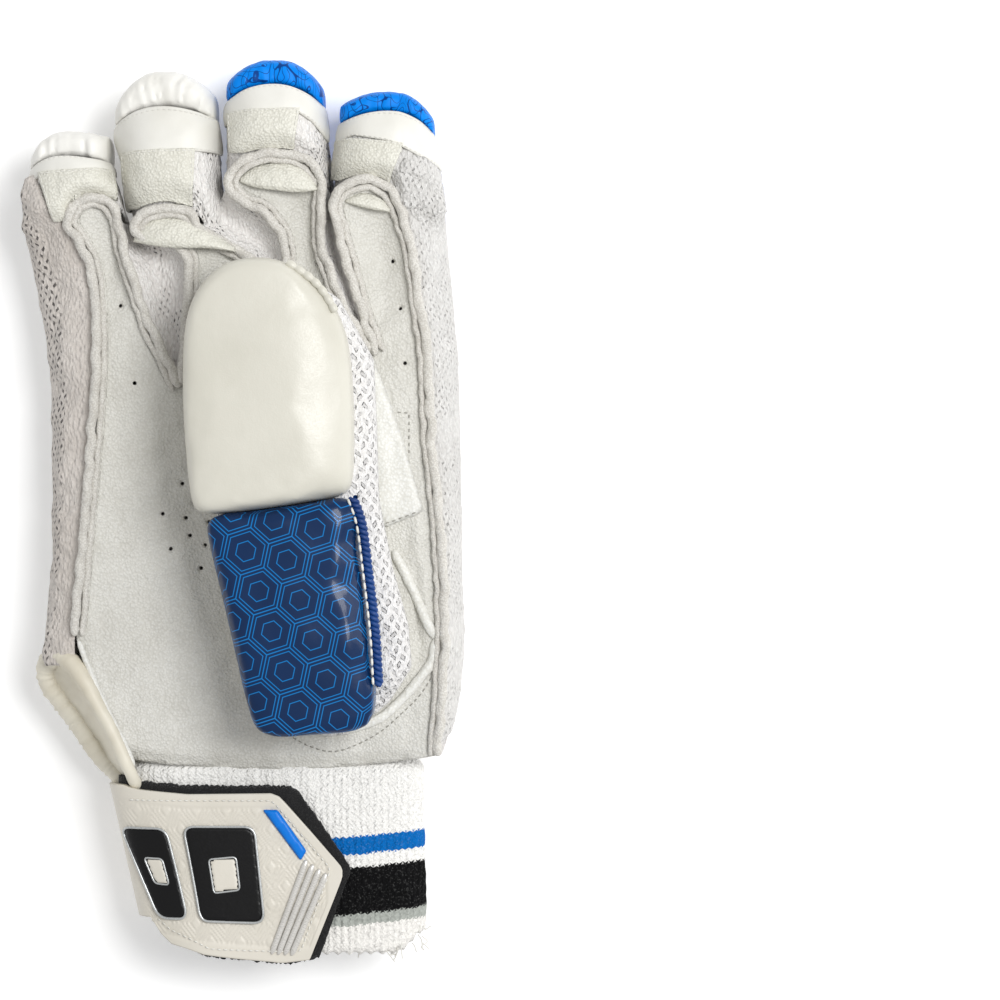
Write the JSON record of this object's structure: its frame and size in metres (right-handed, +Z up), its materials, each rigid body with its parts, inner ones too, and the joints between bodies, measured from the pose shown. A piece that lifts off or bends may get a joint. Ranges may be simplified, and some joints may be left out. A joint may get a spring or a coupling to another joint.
{
  "type": "cricket batting glove",
  "caption": "Right-hand leather and mesh batting glove with padded finger rolls, a two-part thumb guard, a knitted cuff and a wrist strap, lying palm up.",
  "frame": {"origin": "on the surface that the glove lies on, under the middle of its box", "axes": "+X towards the index finger's side, +Y towards the fingertips, +Z up, out of the palm"},
  "size_m": [0.141, 0.2876, 0.0736],
  "materials": {
    "palm_leather": "fine grained, matt, cool white",
    "white_leather": "soft, satin, warm white",
    "ivory_leather": "smooth, satin, ivory",
    "white_mesh": "open knitted mesh, matt",
    "blue_leather": "printed, satin, bright blue",
    "navy_leather": "printed, glossy, navy",
    "white_knit": "ribbed towelling knit with blue and black stripes",
    "black_webbing": "black loop fabric",
    "strap_rubber": "moulded, satin, warm white",
    "silver_print": "silver grey, satin"
  },
  "bodies": {
    "root": {"back_pad_1": "white_leather", "back_pad_2": "white_leather", "back_pad_3": "white_leather", "back_pad_4": "white_leather", "back_pad_5": "white_leather", "cuff": "white_knit", "gusset_index_outer": "white_mesh", "gusset_little_outer": "white_mesh", "gusset_little_ring": "white_mesh", "gusset_middle_index": "white_mesh", "gusset_ring_middle": "white_mesh", "hand_back": "white_mesh", "index_roll_base": "white_leather", "index_roll_mid": "blue_leather", "index_seam_lip": "white_leather", "index_tip_cover": "white_leather", "index_tip_patch": "ivory_leather", "index_tip_roll": "blue_leather", "little_roll_base": "white_leather", "little_roll_mid": "white_leather", "little_seam_lip": "white_leather", "little_tip_cover": "white_leather", "little_tip_patch": "ivory_leather", "little_tip_roll": "white_leather", "middle_roll_base": "white_leather", "middle_roll_mid": "blue_leather", "middle_seam_lip": "white_leather", "middle_tip_cover": "white_leather", "middle_tip_patch": "ivory_leather", "middle_tip_roll": "blue_leather", "palm_leather": "palm_leather", "ring_roll_base": "white_leather", "ring_roll_mid": "white_leather", "ring_seam_lip": "white_leather", "ring_tip_cover": "white_leather", "ring_tip_patch": "ivory_leather", "ring_tip_roll": "white_leather", "slit_binding": "white_leather", "slit_lining": "white_knit", "strap_accent": "blue_leather", "strap_backing": "black_webbing", "strap_badge_left": "black_webbing", "strap_badge_right": "black_webbing", "strap_face": "strap_rubber", "strap_rib_1": "silver_print", "strap_rib_2": "silver_print", "strap_rib_3": "silver_print", "strap_rib_4": "silver_print", "thumb_binding": "blue_leather", "thumb_guard_base": "navy_leather", "thumb_guard_tip": "ivory_leather", "thumb_palm_side": "white_leather", "thumb_patch": "white_leather", "thumb_stall": "white_mesh"}
  },
  "joints": []
}
